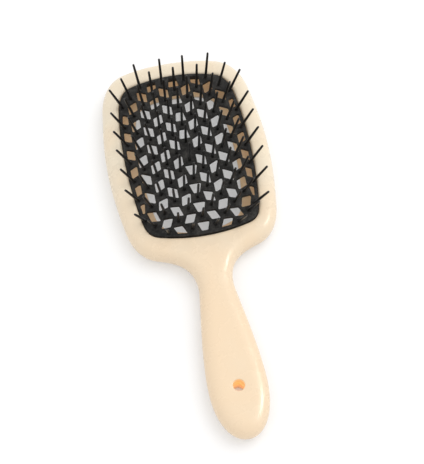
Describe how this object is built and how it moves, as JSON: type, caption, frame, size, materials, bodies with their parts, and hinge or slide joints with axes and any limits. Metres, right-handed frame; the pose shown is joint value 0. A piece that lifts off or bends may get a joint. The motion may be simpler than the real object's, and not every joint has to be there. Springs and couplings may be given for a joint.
{
  "type": "paddle hair brush",
  "caption": "Vented paddle hair brush: a rounded rectangular frame with a tapering handle and hang hole, holding a domed net pad with rows of outward-leaning pins.",
  "frame": {"origin": "middle of the brush's outline on the flat back of the frame, so the brush lies on the surface at Z = 0", "axes": "+X across the brush, +Y along the brush towards the tip of the head, +Z out of the back through the pins"},
  "size_m": [0.09, 0.2248, 0.0315],
  "materials": {
    "shell": "polished cream plastic",
    "net": "matte soft black nylon",
    "pin": "glossy black nylon"
  },
  "bodies": {
    "frame": {"front_shell": "shell", "rear_shell": "shell"},
    "pad": {"pad_net": "net", "pin_row_01": "pin", "pin_row_02": "pin", "pin_row_03": "pin", "pin_row_04": "pin", "pin_row_05": "pin", "pin_row_06": "pin", "pin_row_07": "pin", "pin_row_08": "pin", "pin_row_09": "pin", "pin_row_10": "pin", "pin_row_11": "pin", "pin_row_12": "pin", "pin_row_13": "pin", "pin_row_14": "pin", "pin_row_15": "pin", "pin_row_16": "pin", "pin_row_17": "pin"}
  },
  "joints": [
    {"name": "pad_press", "type": "slide", "parent": "frame", "child": "pad", "axis": [0, 0, -1], "range_m": [0, 0.001], "stiffness_N_per_m": 2500}
  ]
}
